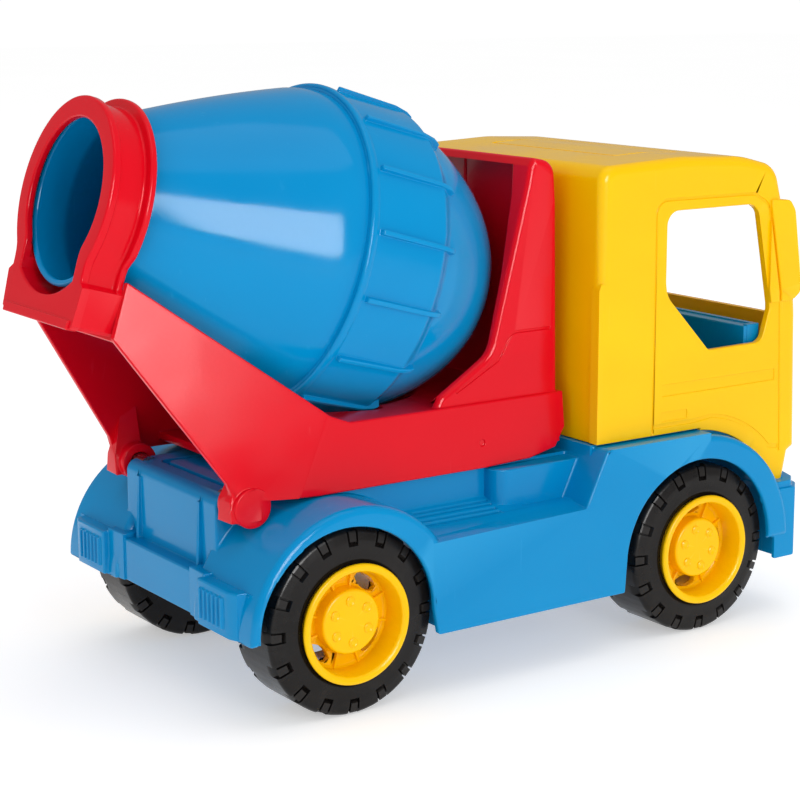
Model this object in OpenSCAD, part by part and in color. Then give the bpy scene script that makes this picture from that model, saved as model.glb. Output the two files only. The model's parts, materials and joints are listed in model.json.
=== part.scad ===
// Toy cement mixer lorry, moulded plastic, millimetres, +X forward, +Y left, +Z up.
// The origin is on the ground, under the middle of the length and the width.

/* [Chassis] */
// Distance between the two axles
wheelbase = 142; // [140:1:146]
// Overall width across the fenders
body_w = 126; // [124:1:130]
// Height of the flat deck under the mixer frame
deck_z = 67.5; // [67:0.5:68]
// Height of the lower edge of the side skirts
skirt_z = 21; // [18:1:24]
// Height of the upper edge of the side skirts
skirt_top = 50.8; // [48:0.4:52]
// Wall thickness of the moulded shells
wall = 2.4; // [2:0.2:2.8]

/* [Wheels] */
// Outer radius of a tyre
tyre_r = 29.4; // [28.6:0.2:30]
// Width of a tyre
tyre_w = 22; // [20:1:23]
// Outer radius of a rim's lip
rim_r = 19; // [18:0.5:20]
// Radius of an axle rod
axle_r = 2; // [1.5:0.25:2.5]
// Distance from the middle of the lorry to a rim's lip
rim_y = 61.7; // [60:0.1:62.5]

/* [Cab] */
// Width of the cab
cab_w = 115; // [112:1:118]
// Height of the roof
roof_z = 164.2; // [162:0.2:168]

/* [Drum] */
// Tilt of the drum, mouth high at the back
drum_tilt = 16; // [15:0.5:17]
// Radius at the widest place, the seam
drum_r = 52.6; // [51.5:0.1:53]
// Outer radius of the neck
neck_r = 27.35; // [26.5:0.05:27.5]
// Number of ribs round the drum's band
rib_count = 16; // [8:1:24]

/* [Mixer frame] */
// Width across the side walls
frame_w = 88; // [86:1:90]
// Width across the walls where they meet the collar
collar_w = 52; // [50:1:53]
// Height of the top of the side rails
rail_z = 88; // [86:0.5:90]
// Height of the top of the front bulkhead
bulkhead_z = 165.5; // [160:0.5:168]

/* [Hidden] */
$fn = 72;

gap = 0.3;                      // air between neighbouring shells
running = 0.08;                 // radial clearance of a turning pin in its hole
axle_z = tyre_r;
half_w = body_w / 2;

// Drum, measured along its own axis from the point above the rear axle
drum_axis_z = 140.8;
mouth_s = -62.5;
seam_s = 9.3;
band_end_s = 40;
drum_end_s = 80;
drum_wall = 2;

// Collar, in the same measure
collar_back_s = -66;
collar_front_s = -52.5;
collar_low = 38;                // from the axis down to the block's lower edge
collar_flange_r = 30.2;
collar_hole_r = 23;
collar_bearing_r = neck_r + 0.35;
throat_half_w = 18.3;
throat_r = 30;

// Ends of the lorry, from the rear axle
rear_overhang = -collar_back_s * cos(drum_tilt) + collar_low * sin(drum_tilt);
front_overhang = 50;
rear_axle_x = -(rear_overhang + wheelbase + front_overhang) / 2 + rear_overhang;

// Chassis places, from the rear axle
box_half_w = 29.8;
core_half_w = 43;
rear_face_x = -30.8;
bumper_x = -39;
bumper_z = [29.3, 43.9];
bumper_block_y = [31.9, 54.6];
rear_arch_r = [33, 37];
front_arch_r = [34.2, 41.5];
well_y = 33;
front_deck_z = 71.2;
front_body_x = 182;
bearing_y = 28;

// Hinge of the mixer frame on the chassis
hinge_x = -25;
hinge_z = 65.5;
hinge_r = 6;
hinge_pin_r = 3;
leg_y = [31.5, 38.5];
hinge_pin_y = [25, 35.7];
frame_bottom_z = 69;

// Places where the cab is screwed to the chassis, from the rear axle
cab_screw_places = [[103, 36], [103, -36], [175, 36], [175, -36]];
screw_r = 1.5;
screw_head_r = 3;
// Below the drum's axis and to the side of it
collar_screw = [34.5, 14];

// ---- helpers ----

// moves what is measured from the rear axle to the lorry's own frame
module from_rear_axle() {
  translate([rear_axle_x, 0, 0]) children();
}

// an outline in X and Z, between two distances across the lorry
module across(y0, y1) {
  translate([0, y1, 0]) rotate([90, 0, 0]) linear_extrude(y1 - y0) children();
}

// a round bar across the lorry
module bar(x, z, r, y0, y1) {
  translate([x, y1, z]) rotate([90, 0, 0]) cylinder(r = r, h = y1 - y0);
}

module both_sides() {
  children();
  mirror([0, 1, 0]) children();
}

module block(lo, hi) {
  translate(lo) cube(hi - lo);
}

// the drum's own frame: +Z along its axis, forwards and down, and +X up
module drum_frame() {
  translate([0, 0, drum_axis_z]) rotate([0, 90 + drum_tilt, 0]) mirror([1, 0, 0]) children();
}

// points of an arc, from angle a0 to a1
function arc(c, r, a0, a1, n = 8) =
  [for (i = [0:n]) let (a = a0 + (a1 - a0) * i / n) [c[0] + r * cos(a), c[1] + r * sin(a)]];

// ---- chassis ----

// half disc over a wheel, with straight sides down to z
module arch(x, r, z) {
  polygon(concat([[x + r, z]], arc([x, axle_z], r, 0, 180, 28), [[x - r, z]]));
}

module fender(x, radii, y0) {
  across(y0, half_w) arch(x, radii[1], axle_z - 0.3);
}

module wheel_well(x, radii) {
  both_sides() across(well_y, half_w + 1) arch(x, radii[0], -1);
}

// thin wall round the inner side of a wheel well
module well_liner(x, radii) {
  both_sides() across(well_y - wall, half_w - 1.3) arch(x, radii[0] + wall, axle_z - 0.7);
}

module skirt() {
  slope_x = 8.2;
  both_sides() {
    across(core_half_w - 1, half_w)
      polygon([[25, skirt_z], [108, skirt_z], [108, skirt_top], [25, skirt_top]]);
    across(core_half_w - 1, half_w)
      polygon([[88.2, skirt_top - 1], [88.2 + slope_x, front_deck_z], [150, front_deck_z - 1],
               [142, 50], [120, 45]]);
  }
}

module rear_bumper() {
  block([-35.6, -core_half_w, bumper_z[0]], [rear_face_x + 1, core_half_w, bumper_z[1]]);
  both_sides() {
    block([bumper_x, bumper_block_y[0], bumper_z[0]], [-32, bumper_block_y[1], bumper_z[1]]);
    block([-34.8, bumper_block_y[1] - 4, bumper_z[0]], [-30, 58, bumper_z[1]]);
  }
}

module front_bumper() {
  front_x = wheelbase + front_overhang;
  block([174, -half_w + 1, skirt_z], [front_x - 6, half_w - 1, 46]);
  block([180, -half_w + 8, skirt_z], [front_x, half_w - 8, 46]);
}

// solid round a hinge pin, from its inner end out to y
module hinge_socket(y) {
  block([hinge_x - 3.6, hinge_pin_y[0] - 1.6, hinge_z - 5], [hinge_x + 5, y, deck_z]);
}

module chassis_outside() {
  block([rear_face_x, -box_half_w, bumper_z[0]], [12, box_half_w, deck_z + 0.8]);
  block([0, -core_half_w, 32], [98, core_half_w, deck_z - 0.2]);
  block([95, -54.4, 32], [front_body_x, 54.4, front_deck_z]);
  skirt();
  rear_bumper();
  front_bumper();
  both_sides() {
    // sockets of the hinge pins, and two ribs on the rear face
    hinge_socket(box_half_w - 1);
    block([rear_face_x - 1.4, 19, 42], [rear_face_x + 1, 21, 63]);
  }
  both_sides() {
    fender(0, rear_arch_r, box_half_w - 1);
    fender(wheelbase, front_arch_r, 50);
  }
}

module chassis_hollow() {
  difference() {
    block([rear_face_x + wall, -box_half_w + wall, -1], [12.5, box_half_w - wall, deck_z - 1.8]);
    both_sides() hinge_socket(box_half_w);
  }
  block([2, -core_half_w + wall, -1], [98, core_half_w - wall, deck_z - wall - 0.2]);
  block([96, -52, -1], [front_body_x - wall, 52, front_deck_z - wall]);
  both_sides() block([33, 38, -1], [106, half_w - wall, skirt_top - 5.5]);
  block([176.6, -half_w + 1 + wall, -1],
        [wheelbase + front_overhang - 6 - wall, half_w - 1 - wall, 43.4]);
}

module bearing_plate(x, top) {
  both_sides() block([x - 9, bearing_y - 1.5, axle_z - 8], [x + 9, bearing_y + 1.5, top]);
}

module chassis() color([0, 0.58, 0.84]) from_rear_axle() {
  groove_w = 1.6;
  groove_x = [32, 78];
  difference() {
    union() {
      difference() {
        chassis_outside();
        chassis_hollow();
      }
      well_liner(0, rear_arch_r);
      well_liner(wheelbase, front_arch_r);
      bearing_plate(0, deck_z - 1);
      bearing_plate(wheelbase, front_deck_z - 1);
    }
    for (x = [0, wheelbase]) bar(x, axle_z, axle_r + running, -half_w, half_w);
    wheel_well(0, rear_arch_r);
    wheel_well(wheelbase, front_arch_r);
    both_sides() for (i = [0:3]) let (y = 45.5 + 3 * i)
      block([groove_x[0], y, skirt_top - 1.2], [groove_x[1], y + groove_w, skirt_top + 1]);
    for (p = cab_screw_places)
      translate([p[0], p[1], 0]) cylinder(r = screw_r + 0.15, h = 100);
    both_sides() bar(hinge_x, hinge_z, hinge_pin_r, hinge_pin_y[0], 40);
  }
}

// ---- cab ----

// side outline of the cab, moved inwards by t
function cab_outline(t) = concat(
  [[97 + t, front_deck_z + 0.3], [97 + t, 124]],
  arc([104, roof_z - 6], 6 - t, 180, 90, 6),
  [[130, roof_z - t], [156, roof_z - 1.6 - t]],
  arc([163, roof_z - 16], 14 - t, 80, 10, 7),
  [[184 - t, 112], [186 - t, 60], [183 - t, 56], [181 - t, 46.4], [150, 46.4], [120, front_deck_z + 0.3]]);

module side_window() {
  across(-80, 80) polygon(concat(
    arc([129.7, 142.4], 4, 90, 180, 4), [[125.5, 119]], [[145, 98.3], [166, 98.3]],
    [[170.5, 101], [172.8, 110.5]], arc([163.2, 142.6], 4, 10, 90, 4)));
}

module mirrors() {
  both_sides() across(cab_w / 2 - 2.4, cab_w / 2 + 1.2)
    polygon([[174, 147.6], [180.6, 147], [183, 144], [187, 119], [186.6, 114.5], [183, 112], [176, 112]]);
}

module cab_shell() color([1, 0.81, 0]) from_rear_axle() {
  difference() {
    union() {
      across(-cab_w / 2, cab_w / 2) polygon(cab_outline(0));
      mirrors();
    }
    difference() {
      across(-cab_w / 2 + wall, cab_w / 2 - wall) polygon(cab_outline(wall));
      for (p = cab_screw_places) {
        translate([p[0], p[1], front_deck_z]) cylinder(r = 3.6, h = 16);
        block([p[0] < 110 ? 98 : p[0], p[1] - 1, front_deck_z],
              [p[0] < 110 ? p[0] : 186, p[1] + 1, front_deck_z + 16]);
      }
    }
    block([90, -cab_w / 2 + wall, 20], [front_body_x + 1.6, cab_w / 2 - wall, front_deck_z + gap]);
    side_window();
    // windscreen
    block([150, -49, 106], [200, 49, 148]);
    bar(wheelbase, axle_z, front_arch_r[1] + gap, -70, 70);
    block([80, -80, 30], [wheelbase, 80, front_deck_z + gap]);
    for (p = cab_screw_places)
      translate([p[0], p[1], front_deck_z - 1]) cylinder(r = screw_r, h = 15 - wall);
  }
}

module cab_interior() color([0, 0.5, 0.78]) from_rear_axle() {
  floor_z = front_deck_z + gap;
  x0 = 110;
  x1 = 171;
  half = 54;
  difference() {
    block([x0, -half, floor_z], [x1, half, 97]);
    block([x0 - 1, -half + wall, floor_z + wall], [x1 - wall, half - wall, 120]);
  }
  block([x1 - 8, -half, 96.9], [x1, half, 104]);
  // two seats
  both_sides() {
    block([128, 8, floor_z + 1], [148, 42, 84]);
    block([121, 8, floor_z + 1], [128.5, 42, 104]);
  }
  // steering wheel boss
  block([165, 20, floor_z + 1], [x1 - 1, 30, 96]);
}

// ---- mixer frame ----

// outline of a side wall in X and Z
wall_outline = concat(
  [[-56, 134.6], [3, 90], [8, rail_z], [92.4, rail_z], [92.8, 75.4], [89.5, frame_bottom_z],
   [-20, frame_bottom_z]],
  arc([hinge_x, hinge_z], hinge_r, 0, -90, 5), [[-30.8, 60.5], [-31, 75], [-55, 109], [-60.9, 117.8]]);

cheek_outline = concat(
  [[44, rail_z - 1], [64, 103]],
  arc([79.4, bulkhead_z - 3], 3, 170, 90, 4),
  arc([80.6, bulkhead_z - 7], 7, 80, 5, 5),
  [[91, rail_z - 1]]);

// keeps only the skin of the two side walls, which close in towards the collar
module wall_skin() {
  taper = atan2((frame_w - collar_w) / 2, 58);
  t = wall + 0.2;
  both_sides() {
    block([0, frame_w / 2 - t, 0], [120, frame_w / 2, 200]);
    translate([0, frame_w / 2, 0]) rotate([0, 0, taper])
      block([-100, -t, 0], [0.4, 0, 200]);
  }
}

module drum_clearance() {
  drum_frame() translate([0, 0, mouth_s - 10]) cylinder(r = neck_r + 0.5, h = 30);
  drum_frame() rotate_extrude() polygon([[0, -60], [30, -50], [drum_r + 2.5, seam_s - 1],
    [drum_r + 2.5, band_end_s + 3], [46.5, 66], [37, 80.5], [0, 80.5]]);
}

module leg() {
  across(leg_y[0], leg_y[1]) polygon(concat(
    arc([hinge_x, hinge_z], hinge_r, 0, -90, 8),
    [[-30.8, 60.5], [-31, 75], [-31, 86], [-14, 86], [-19, frame_bottom_z]]));
}

module mixer_frame() color([0.89, 0.06, 0.12]) from_rear_axle() {
  difference() {
    union() {
      intersection() {
        across(-60, 60) polygon(wall_outline);
        wall_skin();
      }
      // ledges beside the drum, and the floor
      block([2, -frame_w / 2 + 1, rail_z - wall], [92, frame_w / 2 - 1, rail_z]);
      block([2, -frame_w / 2 + 1, frame_bottom_z], [90, frame_w / 2 - 1, frame_bottom_z + wall]);
      // plate that the collar is screwed to
      drum_frame() translate([-39, -24.5, collar_front_s + gap]) cube([7.5, 49, wall]);
      block([89.6, -frame_w / 2 + 1, 70], [92.2, frame_w / 2 - 1, rail_z]);
      // bulkhead
      intersection() {
        across(-frame_w / 2 + 1, frame_w / 2 - 1) polygon(cheek_outline);
        union() {
          both_sides() block([40, frame_w / 2 - 1 - wall, 80], [100, frame_w / 2, 180]);
          block([70, -50, bulkhead_z - wall], [100, 50, 180]);
          translate([91, 0, rail_z]) rotate([0, -3, 0]) block([-wall, -50, -2], [3, 50, 90]);
        }
      }
      drum_frame() translate([0, 0, drum_end_s + 1]) cylinder(r = 7.5, h = 8);
      both_sides() leg();
    }
    drum_clearance();
    drum_frame() translate([0, 0, drum_end_s - 5]) cylinder(r = 3.5, h = 13);
    both_sides() bar(hinge_x, hinge_z, hinge_pin_r + running, leg_y[0] - 2, leg_y[1] - 2.5);
    drum_frame() both_sides() translate([-collar_screw[0], collar_screw[1], collar_front_s - 1])
      cylinder(r = screw_r + 0.15, h = 8);
  }
}

// ---- collar ----

// outline of the collar's inside below the drum
module throat(r) {
  intersection() {
    circle(r = r);
    translate([-60, -throat_half_w]) square([60, 2 * throat_half_w]);
  }
}

module collar_outline(r, post_half_w, block_half_w) {
  circle(r = r);
  translate([-26, -post_half_w]) square([26, 2 * post_half_w]);
  translate([-collar_low, -block_half_w]) square([collar_low - 24.5, 2 * block_half_w]);
}

module drum_collar() color([0.89, 0.06, 0.12]) from_rear_axle() drum_frame() difference() {
  band_length = collar_front_s - collar_back_s - 2.5;
  union() {
    translate([0, 0, collar_back_s]) linear_extrude(2.4) difference() {
      collar_outline(collar_flange_r, 24, collar_w / 2);
      circle(r = collar_hole_r);
      throat(throat_r);
    }
    translate([0, 0, collar_back_s + 2]) linear_extrude(band_length) difference() {
      collar_outline(29, 23.4, collar_w / 2 - 0.4);
      circle(r = collar_bearing_r);
      throat(throat_r);
    }
    translate([0, 0, collar_front_s - 2]) linear_extrude(2) difference() {
      collar_outline(collar_flange_r + 0.3, 24.4, collar_w / 2 - 0.2);
      circle(r = collar_bearing_r);
    }
  }
  both_sides() translate([-collar_screw[0], collar_screw[1], collar_front_s - 9])
    cylinder(r = screw_r, h = 10);
}

// ---- drum ----

module drum_rear_shell() color([0, 0.55, 0.82]) from_rear_axle() drum_frame() {
  rotate_extrude() polygon([
    [neck_r, mouth_s], [neck_r, -52], [35, -33], [43, -15], [49, -2], [drum_r - 1, seam_s - 1],
    [drum_r - 1, seam_s + 3], [drum_r - 1 - drum_wall, seam_s + 3], [drum_r - 3.4, seam_s - 2],
    [47, -3], [41, -15.8], [33, -34], [neck_r - drum_wall, -51], [neck_r - drum_wall, mouth_s]]);
}

module drum_rib() {
  translate([drum_r - 2, -0.9, seam_s + 4]) cube([3, 1.8, band_end_s - seam_s - 5]);
}

module drum_front_shell() color([0, 0.55, 0.82]) from_rear_axle() drum_frame() {
  pin_depth = 12;
  end_angle = asin((drum_end_s - band_end_s) / (drum_r - 0.4));
  inner_r = drum_r - 0.4 - drum_wall;
  difference() {
    union() {
      rotate_extrude() polygon(concat(
        [[drum_r - 0.8, seam_s], [drum_r + 0.3, seam_s], [drum_r + 0.3, seam_s + 2.4],
         [drum_r - 0.4, seam_s + 3]],
        arc([0, band_end_s], drum_r - 0.4, 0, end_angle, 12),
        [[0, drum_end_s], [0, drum_end_s - drum_wall]],
        [for (i = [8:-1:0]) let (a = i * 47 / 8) [inner_r * cos(a), band_end_s + inner_r * sin(a)]],
        [[inner_r, seam_s + 3.2], [drum_r - 0.8, seam_s + 3.2]]));
      translate([0, 0, drum_end_s - pin_depth]) cylinder(r = 7, h = pin_depth - 1);
      for (i = [0:rib_count - 1]) rotate([0, 0, 360 * i / rib_count]) drum_rib();
    }
    translate([0, 0, drum_end_s - pin_depth + 2]) cylinder(r = 3.5 + running, h = pin_depth);
  }
}

module drum_pivot_pin() color([0.7, 0.7, 0.72]) from_rear_axle() drum_frame()
  translate([0, 0, drum_end_s - 9.5]) cylinder(r = 3.5, h = 17.5);

// ---- wheels ----

module axle(x) color([0.7, 0.7, 0.72]) from_rear_axle()
  bar(x, axle_z, axle_r, -rim_y + 6, rim_y - 6);

module wheel_place(x, side) {
  from_rear_axle() translate([x, 0, axle_z]) mirror([0, side < 0 ? 1 : 0, 0]) rotate([-90, 0, 0]) children();
}

module tyre(x, side) color([0.1, 0.1, 0.1]) wheel_place(x, side) {
  y1 = rim_y - 2.9;
  y0 = y1 - tyre_w;
  inner = rim_r - 2;
  skin = 2.2;
  rotate_extrude($fn = 96) polygon([
    [inner, y0], [tyre_r - 3.5, y0], [tyre_r, y0 + 3], [tyre_r, y1 - 3.5], [tyre_r - 2.2, y1 - 0.4],
    [rim_r + 3, y1 + 1.1], [rim_r + 0.6, y1 + 0.4], [inner, y1 - 1.5], [inner, y1 - 4],
    [tyre_r - skin - 1, y1 - 4], [tyre_r - skin, y1 - 6], [tyre_r - skin, y0 + 4],
    [tyre_r - skin - 2, y0 + skin], [inner, y0 + skin]]);
}

module rim(x, side) color([1, 0.81, 0]) wheel_place(x, side) {
  barrel = rim_r - 2;
  face = rim_y - 9.4;
  slot_mid_r = 13.6;
  difference() {
    rotate_extrude($fn = 96) polygon([
      [0, rim_y - 24], [5, rim_y - 24], [5, face - 2.4], [barrel - 2, face - 2.4], [barrel - 2, rim_y - 24.9],
      [barrel, rim_y - 24.9], [barrel, rim_y - 2.4], [rim_r, rim_y - 1.6], [rim_r, rim_y],
      [rim_r - 1.6, rim_y], [rim_r - 3.4, face], [10.3, face], [10.3, rim_y - 4], [9.6, rim_y - 3.6],
      [0, rim_y - 3.6]]);
    translate([0, 0, rim_y - 25]) cylinder(r = axle_r, h = 19);
    for (i = [0:3]) rotate([0, 0, 45 + 90 * i]) translate([0, 0, face - 3]) linear_extrude(5)
      intersection() {
        translate([slot_mid_r - 6, 0]) circle(r = 8.4);
        translate([slot_mid_r + 6, 0]) circle(r = 8.4);
      }
  }
}

// ---- fasteners ----

module tilt_pin(side) color([0.7, 0.7, 0.72]) from_rear_axle() mirror([0, side < 0 ? 1 : 0, 0])
  bar(hinge_x, hinge_z, hinge_pin_r, hinge_pin_y[0], hinge_pin_y[1]);

module screw(length) {
  translate([0, 0, -2]) cylinder(r = screw_head_r, h = 2);
  cylinder(r = screw_r, h = length);
}

module cab_screws() color([0.6, 0.6, 0.62]) from_rear_axle()
  for (p = cab_screw_places) translate([p[0], p[1], front_deck_z - wall]) screw(14);

module collar_screws() color([0.6, 0.6, 0.62]) from_rear_axle() drum_frame()
  both_sides() translate([-collar_screw[0], collar_screw[1], collar_front_s + gap + wall])
    mirror([0, 0, 1]) screw(10);

chassis();
cab_shell();
cab_interior();
mixer_frame();
drum_collar();
drum_rear_shell();
drum_front_shell();
drum_pivot_pin();
axle(0);  // rear_axle
axle(wheelbase);  // front_axle
tyre(0, 1);  // tyre_rear_left
tyre(0, -1);  // tyre_rear_right
tyre(wheelbase, 1);  // tyre_front_left
tyre(wheelbase, -1);  // tyre_front_right
rim(0, 1);  // rim_rear_left
rim(0, -1);  // rim_rear_right
rim(wheelbase, 1);  // rim_front_left
rim(wheelbase, -1);  // rim_front_right
tilt_pin(1);  // tilt_pin_left
tilt_pin(-1);  // tilt_pin_right
cab_screws();
collar_screws();
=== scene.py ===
"""Toy cement mixer lorry in moulded plastic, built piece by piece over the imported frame.

Pieces are drawn in millimetres from the middle of the rear axle: +X forward, +Y left, +Z up
from the ground. finish_piece() moves them into the frame.
"""
import json
import math

import bpy
import bmesh
from mathutils import Matrix, Vector
from mathutils.bvhtree import BVHTree
from mathutils.geometry import area_tri, intersect_point_line, tessellate_polygon


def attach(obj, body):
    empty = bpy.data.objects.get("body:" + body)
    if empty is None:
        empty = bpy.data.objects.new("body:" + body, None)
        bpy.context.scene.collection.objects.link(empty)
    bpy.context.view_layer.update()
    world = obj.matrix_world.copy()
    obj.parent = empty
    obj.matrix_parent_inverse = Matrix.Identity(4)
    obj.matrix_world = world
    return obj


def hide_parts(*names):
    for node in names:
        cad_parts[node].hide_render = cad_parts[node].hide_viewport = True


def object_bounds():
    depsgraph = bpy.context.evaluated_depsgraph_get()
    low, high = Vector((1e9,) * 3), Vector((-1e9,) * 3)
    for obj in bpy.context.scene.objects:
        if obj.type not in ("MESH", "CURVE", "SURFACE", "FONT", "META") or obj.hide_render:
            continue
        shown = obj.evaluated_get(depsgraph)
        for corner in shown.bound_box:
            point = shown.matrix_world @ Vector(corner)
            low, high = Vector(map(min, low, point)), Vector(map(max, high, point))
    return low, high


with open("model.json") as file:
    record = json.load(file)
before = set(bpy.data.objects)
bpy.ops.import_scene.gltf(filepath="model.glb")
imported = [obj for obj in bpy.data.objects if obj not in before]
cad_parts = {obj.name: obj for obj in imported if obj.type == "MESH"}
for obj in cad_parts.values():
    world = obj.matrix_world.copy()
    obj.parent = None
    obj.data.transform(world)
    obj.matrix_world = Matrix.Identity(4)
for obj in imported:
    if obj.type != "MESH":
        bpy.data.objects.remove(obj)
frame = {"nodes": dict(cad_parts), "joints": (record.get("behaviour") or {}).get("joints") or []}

cad_low, cad_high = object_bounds()

MM = 0.001
# The rear axle's place is in the frame's metres; lengths below are in millimetres
JOINTS = {joint["name"]: joint for joint in frame["joints"]}
REAR_AXLE_X = JOINTS["rear_axle_roll"]["pos_m"][0]
AXLE_Z = JOINTS["rear_axle_roll"]["pos_m"][2] / MM
WHEELBASE = (JOINTS["front_axle_roll"]["pos_m"][0] - REAR_AXLE_X) / MM
HINGE_X = (JOINTS["mixer_tilt"]["pos_m"][0] - REAR_AXLE_X) / MM
HINGE_Z = JOINTS["mixer_tilt"]["pos_m"][2] / MM
TO_FRAME = Matrix.Translation((REAR_AXLE_X, 0, 0)) @ Matrix.Scale(MM, 4)

# The drum's own frame: +Z along its axis, forwards and down, and +X up
AXIS = Vector(JOINTS["drum_spin"]["axis"]).normalized()
DRUM_UP = Vector((-AXIS.z, 0, AXIS.x))
DRUM = Matrix((
    (DRUM_UP.x, 0, AXIS.x, 0),
    (0, -1, 0, 0),
    (DRUM_UP.z, 0, AXIS.z, JOINTS["drum_spin"]["pos_m"][2] / MM),
    (0, 0, 0, 1),
))


# -------------------- mesh helpers

def mesh_object(verts, faces):
    """A new object whose faces all point outwards."""
    mesh = bpy.data.meshes.new("shape")
    mesh.from_pydata([tuple(v) for v in verts], [], faces)
    bm = bmesh.new()
    bm.from_mesh(mesh)
    bmesh.ops.remove_doubles(bm, verts=bm.verts, dist=1e-4)
    bmesh.ops.recalc_face_normals(bm, faces=bm.faces)
    bm.to_mesh(mesh)
    bm.free()
    obj = bpy.data.objects.new("shape", mesh)
    bpy.context.scene.collection.objects.link(obj)
    return obj


def discard(obj):
    mesh = obj.data
    bpy.data.objects.remove(obj)
    if mesh.users == 0:
        bpy.data.meshes.remove(mesh)


def bake(obj):
    """Applies the object's modifiers."""
    bpy.context.view_layer.update()
    graph = bpy.context.evaluated_depsgraph_get()
    mesh = bpy.data.meshes.new_from_object(obj.evaluated_get(graph))
    old = obj.data
    obj.modifiers.clear()
    obj.data = mesh
    bpy.data.meshes.remove(old)
    return obj


def stack(rings):
    """A closed solid through rings of points, flat at both ends."""
    n = len(rings[0])
    verts = [p for ring in rings for p in ring]
    last = len(verts)
    faces = [tuple(range(n)), tuple(range(last - 1, last - n - 1, -1))]
    for k in range(len(rings) - 1):
        for i in range(n):
            j = (i + 1) % n
            faces.append((k * n + i, k * n + j, (k + 1) * n + j, (k + 1) * n + i))
    return mesh_object(verts, faces)


def across(points, y0, y1):
    """An outline in X and Z, drawn across the lorry from y0 to y1."""
    return stack([[(x, y, z) for x, z in points] for y in (y0, y1)])


def upright(points, z0, z1):
    """An outline in X and Y, from z0 to z1."""
    return stack([[(x, y, z) for x, y in points] for z in (z0, z1)])


def along_drum(points, s0, s1):
    """An outline in (up, across), along the drum's axis from s0 to s1."""
    return stack([[DRUM @ Vector((u, y, s)) for u, y in points] for s in (s0, s1)])


def block(low, high):
    return upright([(low[0], low[1]), (high[0], low[1]), (high[0], high[1]), (low[0], high[1])],
                   low[2], high[2])


def ring_faces(count, n, closed=True):
    """Faces between rings of n points each, the last ring joined to the first."""
    faces = []
    for k in range(count):
        m = (k + 1) % count
        for i in range(n if closed else n - 1):
            j = (i + 1) % n
            faces.append((k * n + i, k * n + j, m * n + j, m * n + i))
    return faces


def spin(profile, place, steps=128, closed=True):
    """A turned solid: profile is (radius, distance along the axis) points."""
    verts = []
    for k in range(steps):
        a = 2 * math.pi * k / steps
        verts += [place @ Vector((r * math.cos(a), r * math.sin(a), s)) for r, s in profile]
    obj = mesh_object(verts, ring_faces(steps, len(profile), closed))
    bm = bmesh.new()
    bm.from_mesh(obj.data)
    bmesh.ops.dissolve_degenerate(bm, edges=bm.edges, dist=1e-4)
    bm.to_mesh(obj.data)
    bm.free()
    return obj


def arc(cx, cy, r, a0, a1, n=12):
    """Points round a centre, from a0 to a1 degrees."""
    angles = [math.radians(a0 + (a1 - a0) * i / n) for i in range(n + 1)]
    return [(cx + r * math.cos(a), cy + r * math.sin(a)) for a in angles]


def circle(cx, cy, r):
    """A small round outline, for a pin or a bore."""
    return arc(cx, cy, r, 0, 345, 23)


def balanced(half):
    """An outline from its one half of (x, y) points, with y mirrored for the other."""
    return half + [(x, -y) for x, y in reversed(half)]


def rounded(corners, steps=6):
    """An outline whose corners are (x, y, radius), with each corner filleted."""
    points = []
    n = len(corners)
    for i, (x, y, radius) in enumerate(corners):
        here = Vector((x, y))
        if radius <= 0:
            points.append((x, y))
            continue
        to_last = (Vector(corners[i - 1][:2]) - here)
        to_next = (Vector(corners[(i + 1) % n][:2]) - here)
        half = to_last.angle(to_next) / 2
        reach = min(radius / math.tan(half), to_last.length * 0.49, to_next.length * 0.49)
        radius = reach * math.tan(half)
        start = here + to_last.normalized() * reach
        end = here + to_next.normalized() * reach
        bisector = (to_last.normalized() + to_next.normalized()).normalized()
        centre = here + bisector * radius / math.sin(half)
        first, last = (start - centre).normalized(), (end - centre).normalized()
        for k in range(steps + 1):
            points.append(tuple(centre + first.slerp(last, k / steps) * radius))
    return points


def inset(points, distance):
    """A closed outline moved inwards."""
    n = len(points)
    area = sum(points[i - 1][0] * points[i][1] - points[i][0] * points[i - 1][1] for i in range(n))
    turn = 1 if area > 0 else -1
    moved = []
    for i in range(n):
        here = Vector(points[i])
        way_in = (here - Vector(points[i - 1])).normalized()
        way_out = (Vector(points[(i + 1) % n]) - here).normalized()
        n_in = Vector((-way_in.y, way_in.x)) * turn
        n_out = Vector((-way_out.y, way_out.x)) * turn
        moved.append(tuple(here + (n_in + n_out) * distance / (1 + n_in.dot(n_out))))
    return moved


def pillow(points, y0, y1, radius, steps=5):
    """An outline in X and Z, drawn across the lorry, with both rims rounded."""
    rims = []
    for k in range(steps + 1):
        a = math.pi / 2 * k / steps
        rims.append((radius * (1 - math.cos(a)), inset(points, radius * (1 - math.sin(a)))))
    rings = [[(x, y0 + dy, z) for x, z in outline] for dy, outline in rims]
    rings += [[(x, y1 - dy, z) for x, z in outline] for dy, outline in reversed(rims)]
    return stack(rings)


def ribbon(path, width):
    """The outline of a band of that width along an open path."""
    left, right = [], []
    for i, point in enumerate(path):
        before = Vector(path[max(i - 1, 0)])
        after = Vector(path[min(i + 1, len(path) - 1)])
        way = (after - before).normalized()
        side = Vector((-way.y, way.x)) * width / 2
        left.append(tuple(Vector(point) + side))
        right.append(tuple(Vector(point) - side))
    return left + right[::-1]


def mirrored(obj):
    """A copy on the other side of the lorry."""
    twin = bpy.data.objects.new("shape", obj.data.copy())
    bpy.context.scene.collection.objects.link(twin)
    twin.data.transform(Matrix.Scale(-1, 4, (0, 1, 0)))
    twin.data.flip_normals()
    return twin


def both_sides(*objects):
    return [o for obj in objects for o in (obj, mirrored(obj))]


def boolean(base, tools, operation):
    for tool in tools:
        step = base.modifiers.new("step", "BOOLEAN")
        step.object = tool
        step.operation = operation
        step.solver = "MANIFOLD"
    bake(base)
    for tool in tools:
        discard(tool)
    return base


def weld(base, *tools):
    return boolean(base, tools, "UNION")


def cut(base, *tools):
    return boolean(base, tools, "DIFFERENCE")


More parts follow.
